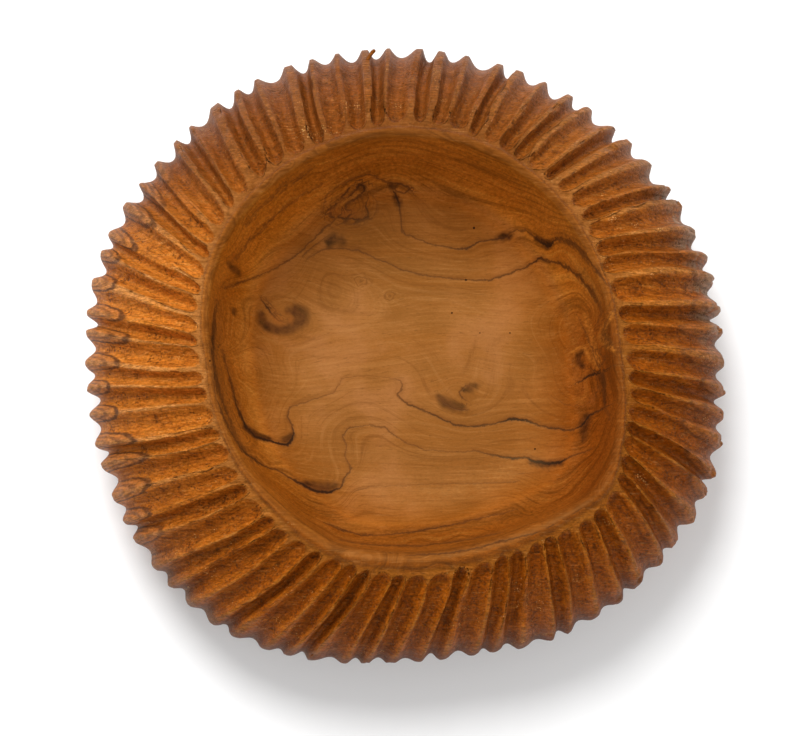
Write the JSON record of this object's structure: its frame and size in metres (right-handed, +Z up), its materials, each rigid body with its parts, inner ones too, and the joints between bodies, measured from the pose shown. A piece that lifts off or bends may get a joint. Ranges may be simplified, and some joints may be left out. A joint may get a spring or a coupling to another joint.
{
  "type": "dough bowl",
  "caption": "Round hand-carved wooden dough bowl with a deep smooth hollow, a narrow rounded lip and gouged flutes running down the outside to a flat base.",
  "frame": {"origin": "middle of the flat base", "axes": "+Z up, out of the hollow; +X to the right and +Y to the top of the picture, which looks down into the bowl"},
  "size_m": [0.4065, 0.3943, 0.128],
  "materials": {
    "carved_wood": "satin wax"
  },
  "bodies": {
    "root": {"bowl": "carved_wood"}
  },
  "joints": []
}
